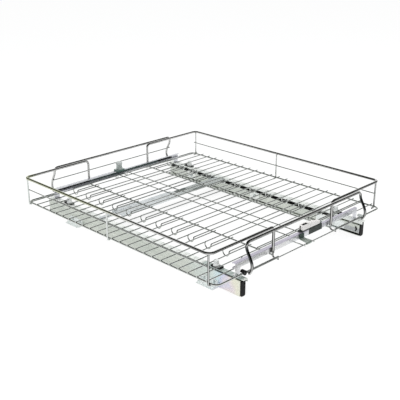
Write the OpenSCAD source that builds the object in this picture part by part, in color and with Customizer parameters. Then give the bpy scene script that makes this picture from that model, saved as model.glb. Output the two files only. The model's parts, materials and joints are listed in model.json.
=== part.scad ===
// Pull-out cabinet basket of welded wire, in three sections that telescope in width,
// carried by two ball-bearing slides that stand on the cabinet floor.
// Millimetres. X is the width, -Y is the front, +Z is up, z = 0 is the cabinet floor.

/* [Basket] */
// Width between the centres of the two side rails
rail_span = 469; // [440:1:500]
// Depth between the centres of the front and rear rails
rail_depth = 500; // [450:1:560]
// Height of the rail above the bottom rim
rail_rise = 52; // [50:1:56]
// Height of the bottom rim above the cabinet floor
rim_height = 40; // [40:1:44]
// Inner edge of a side section, from the middle
section_edge = 82; // [80:1:84]
// Half length of the middle section's handrail
hoop_half = 160; // [156:1:162]

/* [Wire] */
// Diameter of the rails and of the middle section's hoops
rail_d = 5; // [4.6:0.1:5.2]
// Diameter of the bottom rim wire
rim_d = 3.4; // [3.2:0.1:3.6]
// Diameter of the posts between rim and rail
post_d = 3.2; // [3:0.1:3.2]
// Diameter of the wire at the inner edge of a side floor
edge_d = 3; // [2.8:0.1:3.2]
// Diameter of the floor wires
mesh_d = 2.2; // [2:0.1:2.2]
// Spacing of the floor wires of a side section
mesh_pitch = 21; // [21:0.1:21.2]
// Distance between the two arms of a hairpin wire
hairpin_gap = 14; // [13:0.5:14]

/* [Slides] */
// Height of the fixed channel
channel_h = 27; // [27]
// Width of the fixed channel
channel_w = 10; // [10]
// Length of the fixed channel
channel_len = 525; // [480:1:560]
// Sheet thickness of channel, inner slide and brackets
sheet = 1.2; // [1:0.1:1.2]
// Distance of a channel's outer face from the middle
channel_x = 174; // [174:1:176]
// Diameter of a bearing ball
ball_d = 4; // [3.5:0.5:4]
// Balls in each row of a cage
ball_count = 6; // [4:1:6]
// Radius of a screw hole in a foot
foot_hole_r = 2.25; // [2:0.05:2.5]

/* [Cross bars] */
// Height of a cross bar's sleeve
bar_h = 10; // [9.6:0.1:10]
// Depth of a cross bar's sleeve
bar_depth = 7.2; // [7:0.1:7.2]
// Sheet thickness of the cross bars
bar_sheet = 0.8; // [0.7:0.1:0.8]
// Width of the middle cross bar
mid_bar_w = 30; // [28:1:32]
// Place of the middle cross bar behind the middle
mid_bar_y = 96; // [94:1:98]

/* [Hidden] */
$fn = 48;

chrome = [0.80, 0.81, 0.82];
zinc = [0.74, 0.76, 0.75];
black = [0.07, 0.07, 0.07];
pale = [0.82, 0.84, 0.84];

// Clearances
run_gap = 0.05;      // between a ball and its tracks
slip_gap = 0.3;      // between sheet parts that slide past each other
pin_gap = 0.05;      // radial, between a pin and its hole

// Basket levels, measured from the rim's centre line
rim_r = rim_d / 2;
mesh_r = mesh_d / 2;
rail_y = rail_depth / 2;
rail_x = rail_span / 2;
rim_x = rail_x - 5.5;
rim_front = rail_y + 10;
rim_rear = rail_y + 4;
mesh_z = rim_r + mesh_r;
mesh_margin = 7;                              // least room between the last floor wire and the rail
mesh_count = 2 * floor((rail_depth - 2 * mesh_margin) / mesh_pitch / 2 + 0.5);
weld = 0.3;                                   // depth two wires sink into each other at a weld
edge_z = mesh_z - mesh_r - edge_d / 2 + weld;
hairpin_z = mesh_z + mesh_d + slip_gap - 0.1;
spine_z = hairpin_z + mesh_d - weld;          // the two long wires on top of the hairpins
spine_x = 13;
spine_drop_y = (mesh_count / 2 - 0.5) * mesh_pitch - mesh_r - 2;
post_x = rim_x + rim_r + post_d / 2;
post_y = rail_y - 4;
foot_z = -rim_r - post_d / 2;
hairpin_x = hoop_half - 29;
hairpin_dip = -5;
hairpin_count = mesh_count / 2;
carrier_z = -8;
stub = 3.2;                                   // length of a floor wire past the wire it is welded to

// Hoops of the middle section, whose ends belly outward below the neck
hoop_y = rail_y + 9;
hoop_bend = 8;
hoop_neck_z = rail_rise - hoop_bend - 2.5;
hoop_foot_z = -1;
hoop_belly = 13;
hoop_steps = 8;
function hoop_bow(z) = hoop_y + hoop_belly
    * sin(144 * pow((hoop_neck_z - z) / (hoop_neck_z - hoop_foot_z), 1.25));
// Where a thin wire at height z just touches the inner side of a hoop's end
function beside_hoop(z, slack) = hoop_bow(z) - slack
    - (rail_d / 2 + mesh_r) * norm([1, hoop_bow(z + 0.5) - hoop_bow(z - 0.5)]);
base_wire_z = 1.5;
base_wire_y = beside_hoop(base_wire_z, 0.15);
back_wire_z = 25;
back_wire_y = beside_hoop(back_wire_z, 0.05);
spine_low_z = base_wire_z - mesh_d;           // where a long wire ends, under the base wire
guide_d = 2.6;

// Slides, measured from the rim's centre line and from the middle
channel_top = channel_h + 1 - rim_height;
channel_front = -(rail_y + 9.7);
channel_rear = channel_front + channel_len;
channel_foot = channel_top - channel_h;
lip_h = 2;
slide_h = channel_h - 2 * (sheet + ball_d + 2 * run_gap);
slide_in = 3;                                 // inner slide's flange, from the channel's outer face
slide_out = channel_w + 0.4;
slide_front = channel_front - slip_gap;
slide_rear = channel_rear - 3;
ball_u = 6;
cage_t = 1.6;
cage_back_u = 1.6;
cage_inset = 207;                             // from the channel's front end to the cage, basket in
cage_front = channel_front + cage_inset;
ball_pitch = 22;
cage_len = ball_count * ball_pitch;
leg_face = channel_x - slide_out;             // where a carrier's leg meets the inner slide
leg_inset = 60;
leg_y = rail_y - leg_inset;
leg_places = [-leg_y, 0, leg_y];
leg_w = 26;
screw_r = 2;
cap_t = 2.4;                                  // front plate of the channel cap
cap_plug = 8;                                 // how far the cap reaches into the inner slide
carrier_front = -(rail_y + 16);
clip_y = (mesh_count / 2 - 2.5) * mesh_pitch; // the floor wire that a clip holds
clip_d = 9;
clip_top = 1.4;                               // how far a clip reaches above its wire's centre
clip_mid_y = clip_y - mesh_pitch / 2 + hairpin_gap / 2 + mesh_r + 0.2 + clip_d / 2;
pad_t = 3;
pad_w = 10.5;
pad_len = 20;
guide_y = -(clip_y + 17.5);
front_foot_inset = 66.7;                      // from a channel's end to the middle of a foot
rear_foot_inset = 93.3;
foot_places = [channel_front + front_foot_inset, channel_rear - rear_foot_inset];
foot_len = 38;
foot_out = 14;
foot_up = 12;
foot_hole_pitch = 24;
rivet_r = 1.5;

// Cross bars
bar_z = mesh_z + mesh_r + 0.5;
bar_out = rail_y - rail_d / 2 - slip_gap;
bar_in = bar_out - bar_depth;
bar_end = channel_x - 2;                                // outer end of a bar's tab, on the carrier
tab_w = 12;
sleeve_end = [20, 7];                         // inner end of the front and of the rear sleeve
slider_end = [-40, -58];                      // inner end of the front and of the rear slider
bar_gap = 0.3;

// ---------- wire paths ----------

function unit(v) = v / norm(v);
function turn(p, i) = acos(unit(p[i] - p[i - 1]) * unit(p[i + 1] - p[i]));
function cut(p, i, r) = (i == 0 || i == len(p) - 1) ? 0 : r * tan(turn(p, i) / 2);
function axes(x, y, z, at) = [[x[0], y[0], z[0], at[0]], [x[1], y[1], z[1], at[1]],
                              [x[2], y[2], z[2], at[2]], [0, 0, 0, 1]];
function across(v) = abs(v[2]) > 0.9 ? unit(cross([0, 1, 0], v)) : unit(cross([0, 0, 1], v));

// One straight wire from a to b
module straight(a, b, d) {
    z = unit(b - a);
    x = across(z);
    multmatrix(axes(x, cross(z, x), z, a)) cylinder(d = d, h = norm(b - a));
}

// The bend of radius r at corner i of path p
module bend(p, i, r, d) {
    u = unit(p[i] - p[i - 1]);
    v = unit(p[i + 1] - p[i]);
    inward = unit(v - (u * v) * u);
    centre = p[i] - u * cut(p, i, r) + inward * r;
    multmatrix(axes(-inward, u, cross(u, inward), centre))
        rotate_extrude(angle = turn(p, i)) translate([r, 0]) circle(d = d);
}

// A wire of diameter d along path p, whose straights run in the main directions,
// with one bend radius or a list with one for every corner
module wire(p, d, radii) {
    last = len(p) - 1;
    r = is_list(radii) ? radii : [for (i = [0:last]) radii];
    for (i = [0:last - 1]) {
        go = unit(p[i + 1] - p[i]);
        straight(p[i] + go * cut(p, i, r[i]), p[i + 1] - go * cut(p, i + 1, r[i + 1]), d);
    }
    for (i = [1:1:last - 1]) bend(p, i, r[i], d);
}

// A wire along a free curve of close points; its straights meet in balls a touch wider than it
module curved_wire(p, d) {
    last = len(p) - 2;
    for (i = [0:last]) {
        go = unit(p[i + 1] - p[i]) * 0.3;
        straight(p[i] + go, p[i + 1] - (i < last ? go : [0, 0, 0]), d);
        translate(p[i]) sphere(d = d + 0.2, $fn = 24);
    }
}

// Puts a piece drawn on the +X side on the left or right side of the basket
module side(s) {
    if (s < 0) mirror([1, 0, 0]) lift() children();
    else lift() children();
}
module lift() { translate([0, 0, rim_height]) children(); }

// ---------- basket, side sections ----------

// U-shaped rail with its two ends bent down to the floor
module side_rail() {
    wire([[section_edge, -rail_y, 5], [section_edge, -rail_y, rail_rise], [rail_x, -rail_y, rail_rise],
          [rail_x, rail_y, rail_rise], [section_edge, rail_y, rail_rise], [section_edge, rail_y, 5]],
         rail_d, [0, 8, 10, 10, 8, 0]);
    for (s = [-1, 1]) {
        rim_y = s < 0 ? rim_front : rim_rear;
        wire([[section_edge, s * rail_y, 6], [section_edge, s * rail_y, foot_z + 0.1],
              [section_edge, s * (rim_y + 2), foot_z + 0.1]], 3, s < 0 ? 4 : 2.2);
    }
}

// Three posts with feet turned in under the rim
module side_posts() {
    top = rail_rise - sqrt(pow(rail_d / 2, 2) - pow(rail_x - post_x - post_d / 2, 2)) - 0.02;
    for (y = [-post_y, 0, post_y])
        wire([[post_x, y, top], [post_x, y, foot_z], [post_x - 7, y, foot_z]], post_d, 2.5);
}

module side_wire() {
    x = post_x - post_d / 2 - mesh_r;
    z = rail_rise / 2 + 0.5;
    straight([x, -rail_y + 1, z], [x, rail_y - 1, z], mesh_d);
}

module side_rim() {
    wire([[section_edge - 2, -rim_front, 0], [rim_x, -rim_front, 0], [rim_x, rim_rear, 0],
          [section_edge - 2, rim_rear, 0]], rim_d, 10);
}

// Floor wires across the section, welded to the wire at its inner edge
module side_floor() {
    for (i = [0:mesh_count - 1]) {
        y = (i - (mesh_count - 1) / 2) * mesh_pitch;
        straight([section_edge - edge_d / 2 - 1.6, y, mesh_z], [rim_x + stub, y, mesh_z], mesh_d);
    }
    straight([section_edge, -rail_y + 1.6, edge_z], [section_edge, rail_y - 1.6, edge_z], edge_d);
}

// Long wire of the right section that reaches over to the left one and steadies the middle floor
module guide_wire() {
    over = edge_z + edge_d / 2 + slip_gap + guide_d / 2;
    tip = [-section_edge - 1, guide_y, over];
    wire([tip, [rim_x, guide_y, over], [rim_x, guide_y, rim_r]], guide_d, 1.6);
    translate(tip) sphere(d = guide_d);
}

// ---------- basket, middle section ----------

module hoop(s) {
    wire([[-hoop_half, s * hoop_y, hoop_neck_z], [-hoop_half, s * hoop_y, rail_rise],
          [hoop_half, s * hoop_y, rail_rise], [hoop_half, s * hoop_y, hoop_neck_z]], rail_d, hoop_bend);
    step = (hoop_neck_z - hoop_foot_z) / hoop_steps;
    for (x = [-hoop_half, hoop_half])
        curved_wire([for (i = [0:hoop_steps]) let (z = hoop_neck_z - i * step) [x, s * hoop_bow(z), z]],
                    rail_d);
}

module cross_wire(y, z, past) {
    straight([-hoop_half - past, y, z], [hoop_half + past, y, z], mesh_d);
}

// One hairpin wire: two arms joined at both ends by a loop that dips between the floor wires
module hairpin(y) {
    a = y - hairpin_gap / 2;
    b = y + hairpin_gap / 2;
    r = hairpin_gap / 2 - 0.05;
    for (s = [-1, 1])
        wire([[0, a, hairpin_z], [s * hairpin_x, a, hairpin_z], [s * hairpin_x, a, hairpin_dip],
              [s * hairpin_x, b, hairpin_dip], [s * hairpin_x, b, hairpin_z], [0, b, hairpin_z]],
             mesh_d, [0, 2.5, r, r, 2.5, 0]);
}

// A long wire on top of the hairpins whose ends drop and pass under the cross bars to the base wires
module spine(x) {
    end_y = base_wire_y + mesh_r;
    wire([[x, -end_y, spine_low_z], [x, -spine_drop_y, spine_low_z], [x, -spine_drop_y, spine_z],
          [x, spine_drop_y, spine_z], [x, spine_drop_y, spine_low_z], [x, end_y, spine_low_z]],
         mesh_d, 3);
}

module hairpin_floor() {
    for (i = [0:hairpin_count - 1]) hairpin((i - (hairpin_count - 1) / 2) * 2 * mesh_pitch);
    for (s = [-1, 1]) spine(s * spine_x);
}

// ---------- slides ----------

// Sheet bent to a C: w wide, h high, open towards +X, with lips of height lip
module c_profile(w, h, t, lip) {
    difference() {
        square([w, h]);
        translate([t, t]) square([w - 2 * t, h - 2 * t]);
        translate([w - 2 * t, lip]) square([2 * t + 1, h - 2 * lip]);
    }
}

// Stands a profile drawn from a channel's outer face and foot up along the slide, from y0 to y1
module along_slide(y0, y1) {
    translate([channel_x, y1, channel_foot]) rotate([90, 0, 0])
        mirror([1, 0, 0]) linear_extrude(y1 - y0) children();
}

module rivet_hole(y) {
    translate([channel_x + 3, y, channel_foot + 7]) rotate([0, -90, 0])
        cylinder(r = rivet_r, h = 3 + sheet + 1);
}
function rivet_places(y) = [y - 11, y + 11];

module channel() {
    difference() {
        along_slide(channel_front, channel_rear) c_profile(channel_w, channel_h, sheet, lip_h);
        for (f = foot_places) for (y = rivet_places(f)) rivet_hole(y);
    }
}

// Rectangle w by h with corners of radius r
module rounded(w, h, r) {
    translate([r, 0]) square([w - 2 * r, h]);
    translate([0, r]) square([w, h - 2 * r]);
    for (x = [r, w - r]) for (y = [r, h - r]) translate([x, y]) circle(r = r);
}

// Plug in the inner slide's front end, which closes the channel's mouth when the basket is in
module channel_cap() {
    lip_u = slide_in + 0.4;
    foot_v = (channel_h - slide_h) / 2 + sheet;
    notch = [1.6, 2.6];
    along_slide(slide_front - cap_t, slide_front) difference() {
        rounded(channel_w, channel_h, cap_t);
        translate([channel_w - 1.8, channel_h - 3] - notch) square(notch);
    }
    along_slide(slide_front, slide_front + cap_plug)
        translate([lip_u, foot_v]) square([slide_out - sheet - lip_u, channel_h - 2 * foot_v]);
}

// Curved release tongue on the inner slide's face, bulging to the front
module channel_stop() {
    r = 6;
    w = 2.2;
    t = 1.4;
    inset = 11;
    translate([leg_face - t, channel_front + inset, channel_foot + channel_h / 2 - 1])
        rotate([0, 90, 0]) linear_extrude(t) difference() {
            circle(r = r);
            circle(r = r - w);
            translate([-r - 1, -2.6]) square([2 * r + 2, 2 * r]);
        }
}

// Angle bracket that holds the channel to the cabinet floor
module foot(y) {
    wall = foot_up;
    difference() {
        union() {
            translate([channel_x, y - foot_len / 2, -rim_height]) cube([sheet, foot_len, wall]);
            translate([channel_x, y - foot_len / 2, -rim_height]) cube([foot_out, foot_len, sheet]);
            for (e = [-1, 1])
                translate([channel_x, y + e * (foot_len / 2 - sheet / 2) + sheet / 2, -rim_height])
                    rotate([90, 0, 0]) linear_extrude(sheet)
                        polygon([[0, 0], [foot_out - 2, 0], [sheet, wall], [0, wall]]);
        }
        for (e = [-1, 1])
            translate([channel_x + foot_out / 2 + 1, y + e * foot_hole_pitch / 2, -rim_height - 1])
                cylinder(r = foot_hole_r, h = sheet + 2);
        for (p = rivet_places(y)) rivet_hole(p);
    }
}

module foot_rivets() {
    for (f = foot_places) for (y = rivet_places(f))
        translate([channel_x - sheet, y, channel_foot + 7]) rotate([0, 90, 0]) {
            cylinder(r = rivet_r, h = 2 * sheet);
            translate([0, 0, 2 * sheet]) cylinder(r1 = 3, r2 = 2.2, h = 1.3);
        }
}

// Rows of balls above and below the inner slide
module at_balls() {
    row = ball_d / 2 + run_gap;
    for (i = [0:ball_count - 1]) for (v = [sheet + row, channel_h - sheet - row])
        translate([channel_x - ball_u, cage_front + (i + 0.5) * ball_pitch, channel_foot + v]) children();
}

module ball_cage() {
    difference() {
        along_slide(cage_front, cage_front + cage_len) difference() {
            half = sheet + run_gap + ball_d / 2 - cage_t / 2;
            translate([cage_back_u, half]) square([6.8, channel_h - 2 * half]);
            translate([cage_back_u + 0.8, half + cage_t])
                square([9, channel_h - 2 * half - 2 * cage_t]);
        }
        at_balls() cylinder(d = ball_d + 2 * pin_gap, h = 6, center = true);
    }
}

module balls() { at_balls() sphere(d = ball_d); }

module inner_slide() {
    difference() {
        along_slide(slide_front, slide_rear)
            translate([slide_out, (channel_h - slide_h) / 2]) mirror([1, 0])
                c_profile(slide_out - slide_in, slide_h, sheet, sheet);
        for (y = leg_places) carrier_screw(y) cylinder(r = screw_r, h = 4 * sheet);
    }
}

// Angle strip on the inner slide that reaches over the channel and carries the basket
module carrier() {
    y0 = carrier_front;
    y1 = slide_rear;
    over = channel_x - 1 - leg_face + sheet;
    difference() {
        union() {
            translate([leg_face - sheet, y0, carrier_z - sheet]) cube([over, y1 - y0, sheet]);
            translate([leg_face - sheet, y0, channel_top - 1.5])
                cube([sheet, y1 - y0, carrier_z - channel_top + 1.5]);
            for (y = leg_places)
                translate([leg_face - sheet, y - leg_w / 2, channel_foot + 7])
                    cube([sheet, leg_w, carrier_z - channel_foot - 7]);
        }
        for (y = leg_places) carrier_screw(y) cylinder(r = screw_r, h = 3 * sheet);
    }
}

module carrier_screw(y) {
    translate([leg_face - 2 * sheet, y, channel_foot + channel_h / 2]) rotate([0, 90, 0]) children();
}

module carrier_screws() {
    for (y = leg_places) carrier_screw(y) {
        translate([0, 0, sheet]) cylinder(r = screw_r, h = 2 * sheet);
        translate([0, 0, -0.8]) difference() {
            cylinder(r1 = screw_r * 1.4, r2 = screw_r * 1.8, h = 0.8 + sheet);
            for (a = [0, 90]) rotate([0, 0, a])
                translate([-screw_r * 0.9, -0.4, -1]) cube([screw_r * 1.8, 0.8, 1.9]);
        }
    }
}

// Round saddles that each hold a floor wire above the carrier, clear of the hairpin that slides by
module clips() {
    long = clip_d + 7;
    for (s = [-1, 1]) difference() {
        translate([channel_x - 6, s * clip_mid_y, carrier_z + pad_t]) {
            cylinder(d = clip_d, h = mesh_z + clip_top - carrier_z - pad_t);
            cylinder(d = clip_d + 2, h = 2);
        }
        translate([channel_x - 6 - long / 2, s * clip_y, mesh_z]) {
            rotate([0, 90, 0]) cylinder(r = mesh_r + 0.02, h = long);
            translate([0, -mesh_r + 0.1, 0]) cube([long, mesh_d - 0.2, 5]);
        }
    }
}

// Rubber pads under the saddles
module clip_pads() {
    for (s = [-1, 1])
        translate([channel_x - 1 - pad_w, s * (clip_mid_y + 1.7) - pad_len / 2, carrier_z])
            cube([pad_w, pad_len, pad_t]);
}

// Rubber bumper pushed over the rim wire
module bumper() {
    r = 4.2;
    depth = 8;
    front = 2.3;                              // from the rim's centre line
    up = 0.8;
    long = 2 * r + 4;
    translate([channel_x - 9, -rim_front - front, up]) rotate([-90, 0, 0]) difference() {
        cylinder(r = r, h = depth);
        translate([0, 0, -1]) cylinder(r = 1.5, h = 1.8);
        translate([-long / 2, up, front]) {
            rotate([0, 90, 0]) cylinder(r = rim_r + 0.02, h = long);
            translate([0, -rim_r + 0.2, 0]) cube([long, rim_d - 0.4, depth]);
        }
    }
}

// ---------- cross bars ----------

// Draws a bar's profile standing at the front or the rear, from x0 to x1
module along_bar(s, x0, x1) {
    translate([x0, s * bar_out, bar_z]) rotate([90, 0, 90]) linear_extrude(x1 - x0)
        mirror([s > 0 ? 1 : 0, 0]) children();
}

// Outer half of a cross bar; k is 0 at the front and 1 at the rear
module bar_sleeve(s, k) {
    along_bar(s, -bar_end, sleeve_end[k]) c_profile(bar_depth, bar_h, bar_sheet, 1.8);
    bar_tab(s, -bar_end, 0);
}

// Inner half, one sheet and one gap smaller all round
module bar_slider(s, k) {
    inset = bar_sheet + bar_gap;
    along_bar(s, slider_end[k], bar_end) translate([inset, inset])
        c_profile(bar_depth - 2 * inset, bar_h - 2 * inset, bar_sheet, bar_sheet);
    bar_tab(s, bar_end - tab_w, inset);
}

// Tab that stands on the carrier and ends in the bar's outer face
module bar_tab(s, x, inset) {
    top = bar_z + inset + bar_sheet;
    y0 = bar_out - inset;
    mirror([0, s > 0 ? 0 : 1, 0]) {
        translate([x, y0 - bar_sheet, carrier_z]) cube([tab_w, bar_sheet, top - carrier_z]);
        translate([x, bar_in + 0.2, carrier_z]) cube([tab_w, y0 - bar_in - 0.2, bar_sheet]);
    }
}

mid_plate = 1.2;
mid_wall = 3.9;
mid_lip = 3;
mid_start = channel_x - 40;                   // where the sleeve narrows to its tongue
mid_end = 20;
mid_slider_end = -38;
mid_tongue_w = 14;

// Wide half of the middle bar: a flat channel open below, narrowed to a tongue on the carrier
module mid_sleeve() {
    top = carrier_z + mid_plate;
    translate([-mid_start, mid_bar_y - mid_bar_w / 2, top]) rotate([0, 90, 0])
        linear_extrude(mid_start + mid_end) difference() {
            square([mid_wall + mid_plate, mid_bar_w]);
            translate([mid_plate, bar_sheet]) square([mid_wall - bar_sheet, mid_bar_w - 2 * bar_sheet]);
            translate([mid_plate + 1, mid_lip]) square([mid_wall, mid_bar_w - 2 * mid_lip]);
        }
    translate([-bar_end, mid_bar_y - mid_tongue_w / 2, carrier_z])
        cube([bar_end - mid_start + 1, mid_tongue_w, mid_plate]);
}

// Narrow half of the middle bar, fixed under the right carrier
module mid_slider() {
    w = mid_bar_w - 2 * bar_sheet - 2 * bar_gap;
    z = carrier_z - 2 * sheet;
    inner = leg_face - sheet - 7;
    translate([mid_slider_end, mid_bar_y - w / 2, z]) cube([inner + 1 - mid_slider_end, w, sheet]);
    translate([inner, mid_bar_y - mid_tongue_w / 2, z]) cube([7, mid_tongue_w, sheet]);
}

// ---------- width locks ----------

lock_x = 0;
lock_y = 0.4 - bar_out;
lock_w = 9;
lock_z = bar_z + bar_h;
lock_base_h = 2;
mouth_x = 59;                                 // end of the plastic mouth that the slider runs in
lever_len = 56;
lever_high = 10;                              // at the pin
lever_tail = 4;                               // height of the lever's thin end
lever_z = lock_base_h + 0.4;
pin_x = lever_high / 2 + 0.2;
pin_z = lever_z + lever_high / 2;
pin_r = 1.1;
ear_t = 2.4;
ear_r = 3.2;

// Places a shape drawn in the front lock's own x and z so that it runs along y, w wide about the middle
module across_lock(w) {
    translate([lock_x, lock_y + (lock_w + w) / 2, lock_z]) rotate([90, 0, 0]) linear_extrude(w) children();
}

// Plastic mouth on the front sleeve's end, with the base and the ear that the lever turns on
module front_lock_housing() {
    along_bar(-1, sleeve_end[0], mouth_x) c_profile(bar_depth, bar_h, bar_sheet, 1.8);
    translate([lock_x, lock_y, lock_z]) cube([lever_len + 2, lock_w, lock_base_h]);
    across_lock(ear_t) difference() {
        union() {
            translate([pin_x - ear_r, 0]) square([2 * ear_r, pin_z]);
            translate([pin_x, pin_z]) circle(r = ear_r);
        }
        translate([pin_x, pin_z]) circle(r = pin_r);
    }
}

// Lever that swings up from the base: thick and round at its pin, thin at its end, with a thumb slot
module front_lock_lever() {
    w = lock_w - 0.4;
    slack = 0.25;
    thick_x = 22;
    difference() {
        intersection() {
            across_lock(w) {
                translate([pin_x, pin_z]) circle(d = lever_high);
                polygon([[pin_x, lever_z], [lever_len, lever_z], [lever_len, lever_z + lever_tail],
                         [thick_x, lever_z + lever_high], [pin_x, lever_z + lever_high]]);
            }
            translate([lock_x, lock_y + lock_w / 2, lock_z]) {
                translate([w / 2, -w / 2, 0]) cube([lever_len - w, w, lock_base_h + 2 * lever_high]);
                for (x = [w / 2, lever_len - w / 2])
                    translate([x, 0, 0]) cylinder(d = w, h = lock_base_h + 2 * lever_high);
            }
        }
        across_lock(ear_t + 2 * slack) {
            translate([pin_x, pin_z]) circle(r = ear_r + slack);
            translate([-1, -1]) square([pin_x + 1, pin_z + ear_r + slack + 1]);
            translate([0, -1]) square([pin_x + ear_r + slack, pin_z + 1]);
        }
        translate([lock_x + thick_x / 2 - 5, lock_y + 1.6, lock_z + lever_z + lever_high - 1.6])
            cube([10, 2, 3]);
    }
    across_lock(ear_t + 2 * slack + 1) translate([pin_x, pin_z]) circle(r = pin_r - pin_gap);
}

rear_lock_x = -8;
column_d = 12;
column_h = 15;
knob_d = 14;
knob_h = 3.6;
knob_screw_r = 3;
rear_lock_y = bar_out - knob_d / 2 - 0.2;

// Body clamped on the rear sleeve: a foot, and a column that narrows upward
module rear_lock_body() {
    foot = [20, 12, 4.6];
    translate([rear_lock_x, rear_lock_y, lock_z]) difference() {
        union() {
            translate([-foot[0] / 2, -foot[1] / 2, 0]) cube(foot);
            cylinder(d1 = column_d + 2, d2 = column_d, h = column_h);
        }
        translate([0, 0, 4]) cylinder(r = knob_screw_r, h = column_h);
    }
}

// Clamp knob with its screw
module rear_lock_knob() {
    base = column_h + slip_gap;
    translate([rear_lock_x, rear_lock_y, lock_z]) {
        translate([0, 0, base]) difference() {
            cylinder(d = knob_d, h = knob_h);
            for (a = [0:30:330]) rotate([0, 0, a])
                translate([knob_d / 2 + 0.6, 0, -1]) cylinder(r = 1.2, h = knob_h + 2);
        }
        translate([0, 0, base + knob_h]) cylinder(d1 = knob_d - 1.2, d2 = knob_d - 5, h = 1.6);
        translate([0, 0, 4.2]) cylinder(r = knob_screw_r - pin_gap, h = base - 4);
    }
}

// ---------- all nodes ----------

color(zinc) side(-1) channel();  // left_channel
color(zinc) side(1) channel();  // right_channel
color(black) side(-1) channel_cap();  // left_channel_cap
color(black) side(1) channel_cap();  // right_channel_cap
color(black) side(-1) channel_stop();  // left_channel_stop
color(black) side(1) channel_stop();  // right_channel_stop
color(pale) side(-1) foot(foot_places[0]);  // left_front_foot
color(pale) side(1) foot(foot_places[0]);  // right_front_foot
color(pale) side(-1) foot(foot_places[1]);  // left_rear_foot
color(pale) side(1) foot(foot_places[1]);  // right_rear_foot
color(zinc) side(-1) foot_rivets();  // left_foot_rivets
color(zinc) side(1) foot_rivets();  // right_foot_rivets
color(black) side(-1) ball_cage();  // left_ball_cage
color(black) side(1) ball_cage();  // right_ball_cage
color(chrome) side(-1) balls();  // left_balls
color(chrome) side(1) balls();  // right_balls
color(zinc) side(-1) inner_slide();  // left_inner_slide
color(zinc) side(1) inner_slide();  // right_inner_slide
color(zinc) side(-1) carrier();  // left_carrier
color(zinc) side(1) carrier();  // right_carrier
color(chrome) side(-1) carrier_screws();  // left_carrier_screws
color(chrome) side(1) carrier_screws();  // right_carrier_screws
color(pale) side(-1) clips();  // left_clips
color(pale) side(1) clips();  // right_clips
color(black) side(-1) clip_pads();  // left_clip_pads
color(black) side(1) clip_pads();  // right_clip_pads
color(black) side(-1) bumper();  // left_bumper
color(black) side(1) bumper();  // right_bumper
color(chrome) side(-1) side_rail();  // left_rail
color(chrome) side(1) side_rail();  // right_rail
color(chrome) side(-1) side_posts();  // left_posts
color(chrome) side(1) side_posts();  // right_posts
color(chrome) side(-1) side_wire();  // left_side_wire
color(chrome) side(1) side_wire();  // right_side_wire
color(chrome) side(-1) side_rim();  // left_rim
color(chrome) side(1) side_rim();  // right_rim
color(chrome) side(-1) side_floor();  // left_floor
color(chrome) side(1) side_floor();  // right_floor
color(chrome) lift() guide_wire();  // right_guide_wire
color(chrome) lift() hoop(-1);  // front_hoop
color(chrome) lift() hoop(1);  // rear_hoop
color(chrome) lift() cross_wire(-base_wire_y, base_wire_z, 1.5);  // front_base_wire
color(chrome) lift() cross_wire(base_wire_y, base_wire_z, 1.5);  // rear_base_wire
color(chrome) lift() cross_wire(back_wire_y, back_wire_z, 4);  // rear_back_wire
color(chrome) lift() hairpin_floor();
color(zinc) lift() bar_sleeve(-1, 0);  // front_bar_sleeve
color(zinc) lift() bar_sleeve(1, 1);  // rear_bar_sleeve
color(zinc) lift() bar_slider(-1, 0);  // front_bar_slider
color(zinc) lift() bar_slider(1, 1);  // rear_bar_slider
color(zinc) lift() mid_sleeve();  // middle_bar_sleeve
color(zinc) lift() mid_slider();  // middle_bar_slider
color(black) lift() front_lock_housing();
color(pale) lift() front_lock_lever();
color(zinc) lift() rear_lock_body();
color(pale) lift() rear_lock_knob();
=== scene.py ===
"""Looks of the pull-out cabinet basket: finishes of its wire, sheet and plastic, in a white studio."""
import json
import math
import bpy
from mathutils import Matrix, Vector


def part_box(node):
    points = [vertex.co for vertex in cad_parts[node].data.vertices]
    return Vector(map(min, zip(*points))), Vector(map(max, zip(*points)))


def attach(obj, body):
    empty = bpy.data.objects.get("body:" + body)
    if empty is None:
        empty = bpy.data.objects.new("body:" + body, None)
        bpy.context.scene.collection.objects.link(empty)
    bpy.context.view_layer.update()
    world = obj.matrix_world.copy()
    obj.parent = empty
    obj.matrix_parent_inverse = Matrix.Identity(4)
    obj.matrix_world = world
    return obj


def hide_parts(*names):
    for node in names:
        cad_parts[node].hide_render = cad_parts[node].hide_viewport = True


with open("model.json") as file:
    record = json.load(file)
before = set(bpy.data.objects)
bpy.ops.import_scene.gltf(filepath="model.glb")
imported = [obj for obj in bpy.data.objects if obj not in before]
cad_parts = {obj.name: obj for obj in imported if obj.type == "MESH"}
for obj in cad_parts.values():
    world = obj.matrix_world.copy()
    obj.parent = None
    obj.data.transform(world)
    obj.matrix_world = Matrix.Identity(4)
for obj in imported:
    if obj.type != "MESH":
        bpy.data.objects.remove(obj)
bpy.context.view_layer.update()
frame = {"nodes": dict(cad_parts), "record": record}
nodes = frame["nodes"]

MM = 0.001

# ---------- camera ----------

LOOK_AT = Vector((0.0154, 0.0172, 0.040))
AZIMUTH = math.radians(-45.29)
ELEVATION = math.radians(20.95)
DISTANCE = 1.4634
LENS_MM = 66.04
SENSOR_MM = 36.0
FAR_CLIP = 60.0


def make_camera():
    """The camera stands in front of the basket, to its left, and looks down on it."""
    offset = Vector((math.sin(AZIMUTH) * math.cos(ELEVATION),
                     -math.cos(AZIMUTH) * math.cos(ELEVATION),
                     math.sin(ELEVATION)))
    data = bpy.data.cameras.new("camera")
    data.lens = LENS_MM
    data.sensor_width = SENSOR_MM
    data.sensor_fit = "AUTO"
    data.clip_end = FAR_CLIP
    camera = bpy.data.objects.new("camera", data)
    camera.location = LOOK_AT + offset * DISTANCE
    camera.rotation_euler = (-offset).to_track_quat("-Z", "Y").to_euler()
    bpy.context.scene.collection.objects.link(camera)
    bpy.context.scene.camera = camera


# ---------- helpers for node trees ----------

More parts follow.
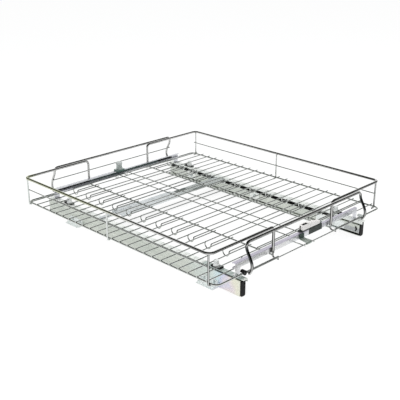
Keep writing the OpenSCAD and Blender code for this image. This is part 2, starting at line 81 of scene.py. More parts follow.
def new_material(name):
    """A material without nodes, and its tree."""
    material = bpy.data.materials.new(name)
    material.use_nodes = True
    material.node_tree.nodes.clear()
    return material, material.node_tree


def add(tree, kind, **values):
    """A node with its settings; a key that names an input socket sets that socket."""
    node = tree.nodes.new(kind)
    for key, value in values.items():
        if key in node.inputs.keys():
            feed(tree, value, node.inputs[key])
        else:
            setattr(node, key, value)
    return node


def feed(tree, source, socket):
    """Links the socket to the source, or sets it where the source is a plain value. A plain colour is
    its red, green and blue."""
    if isinstance(source, bpy.types.NodeSocket):
        tree.links.new(source, socket)
    elif socket.type == "RGBA":
        socket.default_value = (*source, 1)
    else:
        socket.default_value = source


def ramp(tree, value, start, end, low=0.0, high=1.0):
    """Low where value is at start, high where it is at end, and level beyond both."""
    node = add(tree, "ShaderNodeMapRange")
    names = ("Value", "From Min", "From Max", "To Min", "To Max")
    for name, source in zip(names, (value, start, end, low, high)):
        feed(tree, source, node.inputs[name])
    return node.outputs["Result"]


def mix(tree, factor, one, other):
    """One colour turning into the other as factor goes from 0 to 1."""
    node = add(tree, "ShaderNodeMix", data_type="RGBA")
    for name, source in (("Factor", factor), ("A", one), ("B", other)):
        feed(tree, source, node.inputs[name])
    return node.outputs["Result"]


def mix_shader(tree, factor, one, other):
    """One shader where factor is 0, the other where it is 1."""
    node = add(tree, "ShaderNodeMixShader")
    for socket, source in zip(node.inputs, (factor, one, other)):
        feed(tree, source, socket)
    return node.outputs["Shader"]


def math_node(tree, operation, *values):
    """The result of a Math node on sockets and numbers."""
    node = add(tree, "ShaderNodeMath", operation=operation)
    for socket, value in zip(node.inputs, values):
        feed(tree, value, socket)
    return node.outputs["Value"]


def dot_product(tree, vector, direction):
    """How far a vector points in a direction."""
    node = add(tree, "ShaderNodeVectorMath", operation="DOT_PRODUCT")
    feed(tree, vector, node.inputs[0])
    feed(tree, direction, node.inputs[1])
    return node.outputs["Value"]


def bump(tree, height, strength, distance):
    """A normal that follows height."""
    node = add(tree, "ShaderNodeBump", Strength=strength, Distance=distance)
    feed(tree, height, node.inputs["Height"])
    return node.outputs["Normal"]


def split(tree, vector):
    """The X, Y and Z of a vector."""
    node = add(tree, "ShaderNodeSeparateXYZ")
    feed(tree, vector, node.inputs["Vector"])
    return node.outputs


def place_on_object(tree):
    """The X, Y and Z of the point on its own object, in metres."""
    return split(tree, add(tree, "ShaderNodeTexCoord").outputs["Object"])


def object_noise(tree, scale, detail=3.0, stretch=(1, 1, 1)):
    """Noise fixed to the object, with scale in blobs per metre."""
    place = add(tree, "ShaderNodeTexCoord")
    mapping = add(tree, "ShaderNodeMapping", Scale=stretch)
    feed(tree, place.outputs["Object"], mapping.inputs["Vector"])
    noise = add(tree, "ShaderNodeTexNoise", Scale=scale, Detail=detail, Roughness=0.55)
    feed(tree, mapping.outputs["Vector"], noise.inputs["Vector"])
    return noise.outputs["Fac"]


# ---------- effects that several finishes share, as node groups ----------

NUMBER = "NodeSocketFloat"
COLOUR = "NodeSocketColor"
VECTOR = "NodeSocketVector"

# Sizes of noise, in blobs per metre
SMEARS = 60.0
RIPPLE = 250.0
MATT_SPOTS = 300.0
GRAIN = 1500.0
MOTTLE = 140.0
DRAWN_MARKS = 40.0
TINT_DRIFT = 25.0

# Places over which an effect comes in, from where it begins to where it is full
REST_X = (-233 * MM, -200 * MM)               # the plain tint of the plate, from the left
REST_Y = (70 * MM, -90 * MM)                  # and from the rear
EDGE_REFLECTION_Y = (-120 * MM, -220 * MM)            # the painted dark reflection on rails and posts
CHROMATE_X = (50 * MM, -50 * MM)              # the tints of the chromate bath
CHROMATE_Y = (-150 * MM, -205 * MM)
CHROMATE_SPAN = (-262 * MM, -195 * MM)        # Y over which those tints follow each other
CHROMATE_TINTS = ((0.0, (0.82, 0.84, 0.74)), (0.24, (0.86, 0.84, 0.70)), (0.42, (0.85, 0.76, 0.80)),
                  (0.52, (0.66, 0.68, 0.88)), (0.62, (0.62, 0.78, 0.84)), (1.0, (0.70, 0.79, 0.77)))
FRONT_LEFT = (-0.66, -0.66, 0.36)             # direction of the bright front left of the room
EDGE_REFLECTION_TURN = (0.94, 0.78)                   # cosine of the angle to that direction
EDGE_REFLECTION_SLOPE = (0.36, 0.12)                  # Z of the surface's normal


def new_group(name, inputs, outputs):
    """A node group, the sockets that bring its inputs and the sockets that take its outputs."""
    tree = bpy.data.node_groups.new(name, "ShaderNodeTree")
    for way, sockets in (("INPUT", inputs), ("OUTPUT", outputs)):
        for socket, kind in sockets.items():
            tree.interface.new_socket(socket, in_out=way, socket_type=kind)
    return tree, add(tree, "NodeGroupInput").outputs, add(tree, "NodeGroupOutput").inputs


def put_group(tree, name, **values):
    """The outputs of a node group that is placed in the tree with its own values."""
    return add(tree, "ShaderNodeGroup", node_tree=bpy.data.node_groups[name], **values).outputs


def plated_tint_group():
    """The tint of chrome plate: one colour on the rear half of the basket's left side, another on the
    rest of it."""
    tree, given, result = new_group("plated_tint", {"Left": COLOUR, "Rest": COLOUR}, {"Colour": COLOUR})
    place = place_on_object(tree)
    drift = ramp(tree, object_noise(tree, TINT_DRIFT), 0.35, 0.65, -12 * MM, 12 * MM)
    across = ramp(tree, math_node(tree, "ADD", place["X"], drift), *REST_X)
    rest = math_node(tree, "MAXIMUM", across, ramp(tree, place["Y"], *REST_Y))
    feed(tree, mix(tree, rest, given["Left"], given["Rest"]), result["Colour"])


def painted_edge_reflection_group():
    """1 where the upright sides of rails and posts at the front turn away from the bright front left of
    the room, the places where a dark reflection of the room is painted on them."""
    tree, _, result = new_group("painted_edge_reflection", {}, {"Mask": NUMBER})
    normal = add(tree, "ShaderNodeNewGeometry").outputs["True Normal"]
    toward = math_node(tree, "ABSOLUTE", dot_product(tree, normal, FRONT_LEFT))
    slope = math_node(tree, "ABSOLUTE", split(tree, normal)["Z"])
    away = ramp(tree, toward, *EDGE_REFLECTION_TURN)
    upright = ramp(tree, slope, *EDGE_REFLECTION_SLOPE)
    front = ramp(tree, place_on_object(tree)["Y"], *EDGE_REFLECTION_Y)
    side = math_node(tree, "MULTIPLY", away, upright)
    feed(tree, math_node(tree, "MULTIPLY", side, front), result["Mask"])


def handled_metal_group():
    """Faint smears, from a smooth roughness to a dull one, and the fine ripple of a plated surface."""
    tree, given, result = new_group("handled_metal", {"Smooth": NUMBER, "Dull": NUMBER},
                                    {"Roughness": NUMBER, "Normal": VECTOR})
    smears = ramp(tree, object_noise(tree, SMEARS), 0.35, 0.7, given["Smooth"], given["Dull"])
    ripple = bump(tree, object_noise(tree, RIPPLE, detail=1.0), strength=0.05, distance=0.2 * MM)
    feed(tree, smears, result["Roughness"])
    feed(tree, ripple, result["Normal"])


def chromate_tint(tree, along):
    """The colours of the chromate bath, which follow each other towards the rear."""
    node = add(tree, "ShaderNodeValToRGB")
    stops = node.color_ramp.elements
    stops[0].color = (*CHROMATE_TINTS[0][1], 1)
    stops[1].color = (*CHROMATE_TINTS[-1][1], 1)
    for spot, colour in CHROMATE_TINTS[1:-1]:
        stops.new(spot).color = (*colour, 1)
    feed(tree, ramp(tree, along, *CHROMATE_SPAN), node.inputs["Fac"])
    return node.outputs["Color"]


def rolled_sheet_group():
    """The colour of zinc sheet: long drawing marks from dark to light, and at the front left of the
    basket the tints of the chromate bath, by the share Tint."""
    tree, given, result = new_group("rolled_sheet", {"Dark": COLOUR, "Light": COLOUR, "Tint": NUMBER},
                                    {"Colour": COLOUR})
    drawn = object_noise(tree, DRAWN_MARKS, stretch=(4, 0.3, 4))
    plain = mix(tree, ramp(tree, drawn, 0.3, 0.7), given["Dark"], given["Light"])
    place = place_on_object(tree)
    drift = ramp(tree, object_noise(tree, TINT_DRIFT, detail=1.0), 0.3, 0.7, -15 * MM, 15 * MM)
    along = math_node(tree, "ADD", place["Y"], drift)
    left = ramp(tree, place["X"], *CHROMATE_X, 0.0, given["Tint"])
    tinted = math_node(tree, "MULTIPLY", left, ramp(tree, along, *CHROMATE_Y))
    feed(tree, mix(tree, tinted, plain, chromate_tint(tree, along)), result["Colour"])


def moulded_plastic_group():
    """The mottled colour and the fine grain of moulded plastic and rubber."""
    tree, given, result = new_group("moulded_plastic", {"Dark": COLOUR, "Light": COLOUR},
                                    {"Colour": COLOUR, "Roughness": NUMBER, "Normal": VECTOR})
    mottle = ramp(tree, object_noise(tree, MOTTLE), 0.3, 0.7)
    spots = ramp(tree, object_noise(tree, MATT_SPOTS), 0.3, 0.7, low=0.38, high=0.6)
    grain = bump(tree, object_noise(tree, GRAIN, detail=2.0), strength=0.15, distance=0.3 * MM)
    feed(tree, mix(tree, mottle, given["Dark"], given["Light"]), result["Colour"])
    feed(tree, spots, result["Roughness"])
    feed(tree, grain, result["Normal"])


# ---------- marks: places on the pieces where shade, light and reflections are painted ---

FAR = 1.0                                     # beyond every piece

# Limits on a channel, in millimetres from its lowest front corner
TRACK_SIDE = 8.7
LOW_TRACK_TOP = 6.2
HIGH_TRACK_FOOT = 19.6
SHADED_WEB_END = 33.7
BRIGHT_WEB_END = 99.7

# The hollow of the rear cross bar, where shade is painted, in millimetres from the lowest corner of its
# sleeve
HOLLOW_Y = (-2.5, 6.45)
HOLLOW_Z = (15, 19.8)

# Where the ends of the front hoop begin to mirror the dark of the room, and where they do so fully
HOOP_END_X = (150 * MM, 156 * MM)
HOOP_END_Y = (-250 * MM, -254 * MM)
HOOP_END_FOOT = (50 * MM, 60 * MM)
HOOP_END_TOP = (88 * MM, 83 * MM)


def mark(tree, node, x=None, y=None, z=None, mirrored=False):
    """1 inside a box, else 0. Its limits are in millimetres from the node's lowest corner, None where
    it is open. A mirrored mark is on both sides of the basket's middle."""
    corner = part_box(node)[0]
    mask = 1.0
    for value, start, limits in zip(place_on_object(tree), corner, (x, y, z)):
        if limits is None:
            continue
        if mirrored and limits is x:
            value = math_node(tree, "ABSOLUTE", value)
        low = -FAR if limits[0] is None else start + limits[0] * MM
        high = FAR if limits[1] is None else start + limits[1] * MM
        inside = math_node(tree, "COMPARE", value, (low + high) / 2, (high - low) / 2)
        mask = math_node(tree, "MULTIPLY", mask, inside)
    return mask


def shaded_ball_tracks(tree):
    """Painted shade over grease in the ball tracks at the top of a slide, and at the bottom of its front
    end.
    """
    low = mark(tree, "right_channel", mirrored=True,
               x=(-0.3, TRACK_SIDE), y=(None, 44.7), z=(0.9, LOW_TRACK_TOP))
    high = mark(tree, "right_channel", mirrored=True,
                x=(-0.6, TRACK_SIDE), y=(47.7, None), z=(HIGH_TRACK_FOOT, 25.9))
    return math_node(tree, "MAXIMUM", low, high)


def shaded_carrier_edge(tree):
    """Painted shade on the lower edge of a carrier, above the track."""
    return mark(tree, "right_carrier", x=(-0.9, 1.6), y=(54, None), z=(14.5, 20.4), mirrored=True)


def carrier_tip(tree):
    """The shaded top of the left carrier's front end."""
    return mark(tree, "left_carrier", x=(None, 20), y=(4, 91), z=(20.5, None))


def shaded_web(tree):
    """The shaded web at the front of the right channel."""
    return mark(tree, "right_channel", x=(-20, None), y=(None, SHADED_WEB_END), z=(LOW_TRACK_TOP, 15))


def painted_bright_web(tree):
    """A painted bright reflection on the right channel's web behind its front end."""
    return mark(tree, "right_channel",
                x=(-20, None), y=(SHADED_WEB_END, BRIGHT_WEB_END), z=(None, HIGH_TRACK_FOOT))


def shaded_bar_hollow(tree):
    """Painted shade in the hollow of the rear cross bar."""
    return mark(tree, "rear_bar_sleeve", x=(None, 324), y=HOLLOW_Y, z=HOLLOW_Z)


def shaded_bar_hollow_middle(tree):
    """The part of that painted shade on both sides of the rear lock, where it is painted green."""
    return mark(tree, "rear_bar_sleeve", x=(88, 282), y=HOLLOW_Y, z=HOLLOW_Z)


def bar_top_reflection(tree):
    """A painted purple-grey reflection on the top face of the front cross bar."""
    return mark(tree, "front_bar_sleeve", y=(None, 17.2), z=(20.8, None))


def middle_bar_shade(tree):
    """The shaded right half of the middle bar."""
    return ramp(tree, place_on_object(tree)["X"], 0.0, 40 * MM)


def middle_bar_glints(tree):
    """Two dark reflections of the room along the edges of the middle bar."""
    rear = mark(tree, "middle_bar_slider", x=(68, 98), y=(15.9, None))
    front = mark(tree, "middle_bar_slider", x=(104, 138), y=(None, 7.9))
    return math_node(tree, "MAXIMUM", rear, front)


def lock_foot(tree):
    """The shaded foot of the rear lock."""
    return mark(tree, "rear_lock_body", z=(None, 4))


def shaded_thumb_slot(tree):
    """Painted shade in and around the slot in the top of the front lock's lever."""
    return mark(tree, "front_lock_lever", x=(3.95, 17.55), y=(0.2, 5.5), z=(8.2, None))


def tab_top(tree):
    """The shaded upright part of the front base wire's tab."""
    return mark(tree, "front_lock_housing", z=(1.5, None))


def hoop_ends(tree):
    """The bellied ends of the front hoop, which mirror the dark front of the room."""
    place = place_on_object(tree)
    side = ramp(tree, math_node(tree, "ABSOLUTE", place["X"]), *HOOP_END_X)
    front = ramp(tree, place["Y"], *HOOP_END_Y)
    foot = ramp(tree, place["Z"], *HOOP_END_FOOT)
    top = ramp(tree, place["Z"], *HOOP_END_TOP)
    belly = math_node(tree, "MULTIPLY", foot, top)
    return math_node(tree, "MULTIPLY", math_node(tree, "MULTIPLY", front, belly), side)


# ---------- finishes ----------

# near black of painted shade in hollows, gaps and the thumb slot, over grease in the ball tracks
SHADE_BLACK = (0.008, 0.009, 0.008)
# green of painted shade in the rear bar's hollow and at the foot of the rear lock
SHADE_GREEN = (0.095, 0.145, 0.130)
EDGE_REFLECTION_DARK = (0.035, 0.036, 0.034)
BALL_STEEL = (0.6, 0.6, 0.6)
PLATE_SMOOTH = 0.03
PLATE_DULL = 0.09
HAZE_Y = (100 * MM, 240 * MM)                 # over which the haze of the rear comes in


def finish_material(name, metallic, gloss):
    """A material with one Principled shader."""
    material, tree = new_material(name)
    shader = add(tree, "ShaderNodeBsdfPrincipled", Metallic=metallic)
    shader.inputs["Specular IOR Level"].default_value = gloss
    feed(tree, shader.outputs["BSDF"], add(tree, "ShaderNodeOutputMaterial").inputs["Surface"])
    return material, tree, shader


def dress(tree, shader, colour, roughness, normal):
    """Feeds the shader its colour, roughness and normal."""
    for name, source in (("Base Color", colour), ("Roughness", roughness), ("Normal", normal)):
        feed(tree, source, shader.inputs[name])


def with_painted_marks(tree, colour, painted_marks):
    """The colour with painted shade, light and reflections on it, each a mask and the colour there."""
    for mask, shade in painted_marks:
        colour = mix(tree, mask(tree), colour, shade)
    return colour


def plated_wire(name, left, rest, with_painted_edge_reflection=False, painted_marks=(), haze=None):
    """Chrome plate, hazier by haze at the rear. Where asked, a dark reflection of the room is painted on
    its upright sides at the front.
    """
    material, tree, shader = finish_material(name, metallic=1.0, gloss=0.5)
    plate = put_group(tree, "handled_metal", Smooth=PLATE_SMOOTH, Dull=PLATE_DULL)
    colour = put_group(tree, "plated_tint", Left=left, Rest=rest)["Colour"]
    roughness = plate["Roughness"]
    if with_painted_edge_reflection:
        # a dark reflection of the room, painted on the upright sides at the front
        colour = mix(tree, put_group(tree, "painted_edge_reflection")["Mask"], colour, EDGE_REFLECTION_DARK)
    if haze is not None:
        rear = ramp(tree, place_on_object(tree)["Y"], *HAZE_Y, 0.0, haze)
        roughness = math_node(tree, "ADD", roughness, rear)
    dress(tree, shader, with_painted_marks(tree, colour, painted_marks), roughness, plate["Normal"])
    return material


def polished_balls(name):
    """Plain steel of the bearing balls."""
    material, tree, shader = finish_material(name, metallic=1.0, gloss=0.5)
    plate = put_group(tree, "handled_metal", Smooth=PLATE_SMOOTH, Dull=PLATE_DULL)
    dress(tree, shader, BALL_STEEL, plate["Roughness"], plate["Normal"])
    return material


def zinc_sheet(name, dark, light, painted_marks=(), painted_dark_marks=(), tint=0.2, smooth=0.22, dull=0.34,
               metallic=0.7):
    """Rolled zinc sheet with painted shade, light and reflections; it isn't metallic where these are
    dark.
    """
    material, tree, shader = finish_material(name, metallic, gloss=0.15)
    colour = put_group(tree, "rolled_sheet", Dark=dark, Light=light, Tint=tint)["Colour"]
    colour = with_painted_marks(tree, colour, painted_marks)
    # painted shade and dark reflections, where the sheet isn't metallic
    for mask, shade in painted_dark_marks:
        there = mask(tree)
        colour = mix(tree, there, colour, shade)
        metallic = ramp(tree, there, 0.0, 1.0, metallic, 0.0)
    surface = put_group(tree, "handled_metal", Smooth=smooth, Dull=dull)
    dress(tree, shader, colour, surface["Roughness"], surface["Normal"])
    feed(tree, metallic, shader.inputs["Metallic"])
    return material


def plastic(name, dark, light, painted_marks=(), gloss=0.4):
    """Moulded plastic or rubber."""
    material, tree, shader = finish_material(name, metallic=0.0, gloss=gloss)
    moulded = put_group(tree, "moulded_plastic", Dark=dark, Light=light)
    colour = with_painted_marks(tree, moulded["Colour"], painted_marks)
    dress(tree, shader, colour, moulded["Roughness"], moulded["Normal"])
    return material


# Chrome of the welded wires, the thick rails and the posts
PLATED_WIRES = {
    "chrome_wire": dict(left=(0.58, 0.60, 0.57), rest=(0.60, 0.62, 0.60)),
    "chrome_rail": dict(left=(0.48, 0.50, 0.36), rest=(0.62, 0.62, 0.61), with_painted_edge_reflection=True, haze=0.22,
                        painted_marks=[(hoop_ends, (0.06, 0.065, 0.065))]),
    "chrome_post": dict(left=(0.66, 0.69, 0.67), rest=(0.68, 0.69, 0.68), with_painted_edge_reflection=True),
}

# Zinc of rivets and screws, slides, cross bars, the rear lock, the tab, carriers, feet and the middle bar
ZINC_SHEETS = {
    "zinc_sheet": dict(dark=(0.50, 0.55, 0.54), light=(0.62, 0.67, 0.66)),
    "slide_zinc": dict(dark=(0.53, 0.57, 0.52), light=(0.67, 0.70, 0.64), tint=0.85,
                       painted_marks=[(shaded_web, (0.42, 0.44, 0.44)), (painted_bright_web, (0.84, 0.88, 0.87))],
                       painted_dark_marks=[(shaded_ball_tracks, SHADE_BLACK)]),
    "bar_zinc": dict(dark=(0.62, 0.63, 0.67), light=(0.78, 0.79, 0.82),
                     painted_marks=[(bar_top_reflection, (0.52, 0.50, 0.58))],
                     painted_dark_marks=[(shaded_bar_hollow, SHADE_BLACK), (shaded_bar_hollow_middle, SHADE_GREEN)]),
    "lock_zinc": dict(dark=(0.42, 0.47, 0.45), light=(0.52, 0.57, 0.55),
                      painted_dark_marks=[(lock_foot, SHADE_GREEN)]),
    "tab_zinc": dict(dark=(0.24, 0.30, 0.27), light=(0.40, 0.46, 0.43),
                     painted_dark_marks=[(tab_top, (0.045, 0.070, 0.060))]),
    "pale_zinc": dict(dark=(0.78, 0.82, 0.80), light=(0.88, 0.90, 0.86),
                      painted_marks=[(carrier_tip, (0.46, 0.53, 0.50))], painted_dark_marks=[(shaded_carrier_edge, SHADE_BLACK)],
                      smooth=0.1, dull=0.2, metallic=0.4),
    "foot_zinc": dict(dark=(0.82, 0.87, 0.86), light=(0.90, 0.93, 0.92),
                      smooth=0.3, dull=0.5, metallic=0.1),
    "middle_zinc": dict(dark=(0.64, 0.68, 0.70), light=(0.76, 0.80, 0.81), metallic=0.5,
                        painted_marks=[(middle_bar_shade, (0.46, 0.50, 0.49))],
                        painted_dark_marks=[(middle_bar_glints, (0.06, 0.08, 0.075))]),
}

# Plastic of caps and cages, the front lock, clips, the rear knob and the lever, and rubber of the pads
PLASTICS = {
    "black_plastic": dict(dark=(0.003, 0.003, 0.003), light=(0.008, 0.008, 0.008), gloss=0.15),
    "mouth_plastic": dict(dark=(0.026, 0.033, 0.030), light=(0.044, 0.053, 0.049), gloss=0.3),
    "rubber": dict(dark=(0.005, 0.005, 0.005), light=(0.012, 0.012, 0.012), gloss=0.15),
    "pale_plastic": dict(dark=(0.62, 0.64, 0.63), light=(0.74, 0.76, 0.75)),
    "knob_plastic": dict(dark=(0.46, 0.49, 0.48), light=(0.56, 0.59, 0.58)),
    "lever_plastic": dict(dark=(0.74, 0.72, 0.71), light=(0.84, 0.82, 0.81),
                          painted_marks=[(shaded_thumb_slot, SHADE_BLACK)]),
}


def make_finishes():
    """The finishes by name, made after the groups that they share."""
    for make_group in (plated_tint_group, painted_edge_reflection_group, handled_metal_group, rolled_sheet_group,
                       moulded_plastic_group):
        make_group()
    finishes = {name: plated_wire(name, **look) for name, look in PLATED_WIRES.items()}
    finishes["bearing_steel"] = polished_balls("bearing_steel")
    finishes.update({name: zinc_sheet(name, **look) for name, look in ZINC_SHEETS.items()})
    finishes.update({name: plastic(name, **look) for name, look in PLASTICS.items()})
    return finishes


# Nodes whose finish is a variant of their slot's, by the end of their names
VARIANTS = (
    (("_rail", "_hoop"), "chrome_rail"),
    (("_posts",), "chrome_post"),
    (("_channel", "_inner_slide"), "slide_zinc"),
    (("front_bar_sleeve", "front_bar_slider", "rear_bar_sleeve", "rear_bar_slider"), "bar_zinc"),
    (("middle_bar_sleeve", "middle_bar_slider"), "middle_zinc"),
    (("rear_lock_body",), "lock_zinc"),
    (("_carrier",), "pale_zinc"),
    (("_foot",), "foot_zinc"),
    (("front_lock_housing",), "mouth_plastic"),
    (("rear_lock_knob", "right_bumper"), "knob_plastic"),
    (("_lever",), "lever_plastic"),
)


def finish_of(node, slot):
    """The name of a node's finish."""
    for endings, finish in VARIANTS:
        if node.endswith(endings):
            return finish
    return slot


def paint_nodes(finishes):
    """Gives every CAD node its finish."""
    for part in frame["record"]["subparts"]:
        node = nodes[part["node"]]
        node.data.materials.clear()
        node.data.materials.append(finishes[finish_of(part["node"], part["material_slot"])])


# ---------- meshes ----------

CRISP = math.radians(35)                      # edges sharper than this stay crisp


def shade_round(mesh):
    """Round wires and bends shade smoothly."""
    mesh.shade_smooth()
    mesh.set_sharp_from_angle(angle=CRISP)


def new_piece(name, points, faces, finish):
    """A piece with a mesh and a finish."""
    mesh = bpy.data.meshes.new(name)
    mesh.from_pydata(points, [], faces)
    shade_round(mesh)
    mesh.materials.append(finish)
    piece = bpy.data.objects.new(name, mesh)
    bpy.context.scene.collection.objects.link(piece)
    return piece


def direction_at(path, count):
    """The direction in which a path runs at one of its points."""
    return (path[min(count + 1, len(path) - 1)] - path[max(count - 1, 0)]).normalized()


# ---------- smooth hoops ----------

RIM_HEIGHT = 40 * MM                          # of the rim wire, from which a hoop's heights are measured
HOOP_DIAMETER = 5 * MM
HOOP_HALF = 160 * MM                          # from the middle to either end
HOOP_Y = 259 * MM                             # from the middle to the hoop
HOOP_TOP = 52 * MM
HOOP_NECK = 41.5 * MM                         # where the belly of an end begins
HOOP_FOOT = -1 * MM
HOOP_BELLY = 12.8 * MM                        # how far an end bellies outward
HOOP_BELLY_TURN = math.radians(144)           # share of a sine wave from neck to foot
HOOP_BELLY_LEAN = 1.25                        # above 1 the belly lies nearer the foot
HOOP_BEND = 8 * MM                            # radius at the top
HOOP_LEG_STEPS = 40
HOOP_BEND_STEPS = 12
HOOP_SMOOTHINGS = 12
WIRE_SIDES = 28


def hoop_leg():
    """Centre line of one end of a hoop from its foot to the top, in one smooth sweep."""
    leg = []
    for step in range(HOOP_LEG_STEPS + 1):
        share = 1 - step / HOOP_LEG_STEPS
        bow = HOOP_Y + HOOP_BELLY * math.sin(HOOP_BELLY_TURN * share ** HOOP_BELLY_LEAN)
        leg.append(Vector((HOOP_HALF, bow, HOOP_NECK - (HOOP_NECK - HOOP_FOOT) * share)))
    for step in range(HOOP_BEND_STEPS + 1):
        turn = math.radians(90) * step / HOOP_BEND_STEPS
        leg.append(Vector((HOOP_HALF - HOOP_BEND * (1 - math.cos(turn)), HOOP_Y,
                           HOOP_TOP - HOOP_BEND * (1 - math.sin(turn)))))
    for _ in range(HOOP_SMOOTHINGS):
        leg[1:-1] = [(a + 2 * b + c) / 4 for a, b, c in zip(leg, leg[1:], leg[2:])]
    return leg


def hoop_path(side):
    """Centre line of a hoop, from one bellied foot over the top to the other."""
    leg = hoop_leg()
    far = [Vector((-point.x, point.y, point.z)) for point in reversed(leg)]
    return [Vector((point.x, side * point.y, point.z + RIM_HEIGHT)) for point in leg + far]


def wire_mesh(path, diameter):
    """Points and faces of a round wire with flat ends along a path."""
    across = direction_at(path, 0).orthogonal()
    points = []
    for count, point in enumerate(path):
        along = direction_at(path, count)
        across = (across - along * across.dot(along)).normalized()
        beside = along.cross(across)
        for side in range(WIRE_SIDES):
            turn = 2 * math.pi * side / WIRE_SIDES
            points.append(point + (across * math.cos(turn) + beside * math.sin(turn)) * diameter / 2)
    last = (len(path) - 1) * WIRE_SIDES
    faces = [tuple(range(WIRE_SIDES - 1, -1, -1)), tuple(range(last, last + WIRE_SIDES))]
    for here in range(0, last, WIRE_SIDES):
        for side in range(WIRE_SIDES):
            after = (side + 1) % WIRE_SIDES
            faces.append((here + side, here + after, here + WIRE_SIDES + after, here + WIRE_SIDES + side))
    return points, faces


def make_hoops(finish):
    """The hoops bend in one smooth sweep where their solids are built of short straights."""
    for node, side in (("front_hoop", -1), ("rear_hoop", 1)):
        wire = new_piece(node + "_wire", *wire_mesh(hoop_path(side), HOOP_DIAMETER), finish)
        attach(wire, "basket_centre")
        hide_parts(node)


# ---------- tab of the front base wire ----------

TAB_X = (-8.5 * MM, 4.5 * MM)
TAB_SHEET = 1 * MM
TAB_GAP = 0.8 * MM                            # between the tab and the front bar's face
TAB_RISE = 9.2 * MM                           # height of the tab above the bar's underside
TAB_KNEE = 1 * MM                             # height of its bend above the bar's underside
TAB_BEND = 1 * MM                             # how far from the knee its bend begins
TAB_PLAY = 0.05 * MM                          # between the curl and the wire
TAB_CURL_END = math.radians(290)              # how far the tab is curled round the wire
TAB_CURL_STEPS = 12


def tab_path():
    """Centre line of the tab in Y and Z, from its top before the bar to the end of its curl."""
    low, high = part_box("front_base_wire")
    centre = Vector(((low.y + high.y) / 2, (low.z + high.z) / 2))
    radius = (high.z - low.z) / 2 + TAB_PLAY + TAB_SHEET / 2
    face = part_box("front_bar_sleeve")[0].y - TAB_GAP - TAB_SHEET / 2
    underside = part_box("front_lock_housing")[0].z
    knee = Vector((face, underside + TAB_KNEE))
    reach = knee - centre
    start = math.atan2(reach.y, reach.x) + math.acos(radius / reach.length)
    path = [Vector((face, underside + TAB_RISE)), knee + Vector((0, TAB_BEND)),
            knee - reach.normalized() * TAB_BEND]
    for step in range(TAB_CURL_STEPS + 1):
        turn = start + (TAB_CURL_END - start) * step / TAB_CURL_STEPS
        path.append(centre + Vector((math.cos(turn), math.sin(turn))) * radius)
    return path


def strip_mesh(path, width, thickness):
    """Points and faces of a bent strip: a path in Y and Z, and the strip's two limits in X."""
    points = []
    for count, point in enumerate(path):
        along = direction_at(path, count)
        out = Vector((-along.y, along.x)) * thickness / 2
        points += [(x, edge.x, edge.y) for edge in (point - out, point + out) for x in width]
    last = 4 * (len(path) - 1)
    faces = [(0, 1, 3, 2), (last, last + 2, last + 3, last + 1)]
    for here in range(0, last, 4):
        for one, other in ((0, 1), (1, 3), (3, 2), (2, 0)):
            faces.append((here + one, here + 4 + one, here + 4 + other, here + other))
    return points, faces


def make_tab(finish):
    """A bent strip that curls round the front base wire and stands up before the front cross bar."""
    tab = new_piece("front_wire_tab", *strip_mesh(tab_path(), TAB_X, TAB_SHEET), finish)
    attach(tab, "basket_centre")


# ---------- studio ----------

ROOM_DARK = (0.014, 0.016, 0.013)
WHITE = (1, 1, 1)
BACKDROP = (0.66, 0.66, 0.36)                 # direction of the middle of the backdrop
BACKDROP_EDGE = (0.78, 0.93)                  # its soft edge, as cosines of the angle from that middle
LOW_WALL = (0.15, 0.02)                       # height on the sky over which the white wall comes in
ROOM_RISE = (-0.05, 0.75)                     # height on the sky over which the light grows
ROOM_LIGHT = (0.32, 1.0)                      # from this strength to this one
FLOOR_HALF = 6.0
FLOOR_DROP = 0.2 * MM                         # of the floor below the feet
FLOOR_COLOUR = (0.86, 0.87, 0.87)
FLOOR_GLOW = 1.12
FLOOR_GLOW_SHARE = 0.72                       # of what is seen of the floor; the rest shows shadows
LAMP_AIM = Vector((0, 0, 50 * MM))


def light_paths(tree):
    """Whether the ray is the camera's own, and whether metal or glass sends it on."""
    rays = add(tree, "ShaderNodeLightPath").outputs
    sent_on = math_node(tree, "MAXIMUM", rays["Is Glossy Ray"], rays["Is Transmission Ray"])
    return rays["Is Camera Ray"], sent_on


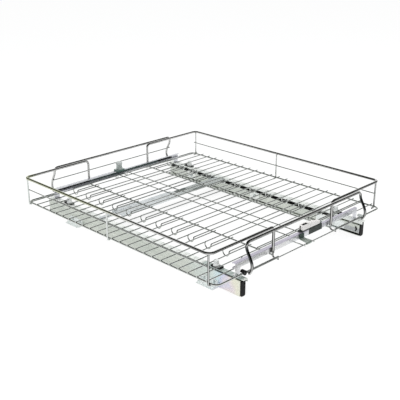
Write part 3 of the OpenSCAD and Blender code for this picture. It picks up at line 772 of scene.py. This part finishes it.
def make_world():
    """White to the camera. Metal sees a low white wall all round, a tall white backdrop behind the
    basket and a dark room above, and everything else is lit from above."""
    world = bpy.data.worlds.new("studio")
    world.use_nodes = True
    tree = world.node_tree
    tree.nodes.clear()
    sky = add(tree, "ShaderNodeTexCoord").outputs["Generated"]
    height = split(tree, sky)["Z"]
    backdrop = ramp(tree, dot_product(tree, sky, BACKDROP), *BACKDROP_EDGE)
    bright = math_node(tree, "MAXIMUM", backdrop, ramp(tree, height, *LOW_WALL))
    mirrored = add(tree, "ShaderNodeBackground")
    feed(tree, mix(tree, bright, ROOM_DARK, WHITE), mirrored.inputs["Color"])
    room = add(tree, "ShaderNodeBackground")
    feed(tree, ramp(tree, height, *ROOM_RISE, *ROOM_LIGHT), room.inputs["Strength"])
    white = add(tree, "ShaderNodeBackground", Color=WHITE)
    from_camera, from_metal = light_paths(tree)
    unseen = mix_shader(tree, from_metal, room.outputs["Background"], mirrored.outputs["Background"])
    surface = mix_shader(tree, from_camera, unseen, white.outputs["Background"])
    feed(tree, surface, add(tree, "ShaderNodeOutputWorld").inputs["Surface"])
    bpy.context.scene.world = world


def make_floor():
    """A wide white floor that keeps a faint shadow."""
    mesh = bpy.data.meshes.new("floor")
    corners = [(x * FLOOR_HALF, y * FLOOR_HALF, 0) for x, y in ((-1, -1), (1, -1), (1, 1), (-1, 1))]
    mesh.from_pydata(corners, [], [(0, 1, 2, 3)])
    floor = bpy.data.objects.new("floor", mesh)
    floor.location = (0, 0, -FLOOR_DROP)
    bpy.context.scene.collection.objects.link(floor)
    material, tree = new_material("floor_white")
    matt = add(tree, "ShaderNodeBsdfDiffuse", Color=FLOOR_COLOUR)
    glow = add(tree, "ShaderNodeEmission", Color=WHITE, Strength=FLOOR_GLOW)
    seen = math_node(tree, "MAXIMUM", *light_paths(tree))
    share = math_node(tree, "MULTIPLY", seen, FLOOR_GLOW_SHARE)
    surface = mix_shader(tree, share, matt.outputs["BSDF"], glow.outputs["Emission"])
    feed(tree, surface, add(tree, "ShaderNodeOutputMaterial").inputs["Surface"])
    mesh.materials.append(material)


def make_lamp(name, place, size, power):
    """A square soft lamp that metal doesn't mirror."""
    data = bpy.data.lights.new(name, "AREA")
    data.size = size
    data.energy = power
    lamp = bpy.data.objects.new(name, data)
    lamp.location = place
    lamp.rotation_euler = (LAMP_AIM - Vector(place)).to_track_quat("-Z", "Y").to_euler()
    lamp.visible_glossy = False
    bpy.context.scene.collection.objects.link(lamp)


def make_lamps():
    """A large lamp high on the left, and a weaker one at the front right."""
    make_lamp("key", place=(-1.0, -0.6, 1.9), size=1.6, power=26)
    make_lamp("fill", place=(1.6, -1.4, 1.2), size=1.2, power=9)


make_camera()
for node in nodes.values():
    shade_round(node.data)
finishes = make_finishes()
paint_nodes(finishes)
make_hoops(finishes["chrome_rail"])
make_tab(finishes["tab_zinc"])
make_world()
make_floor()
make_lamps()
bpy.context.scene.view_settings.view_transform = "Standard"
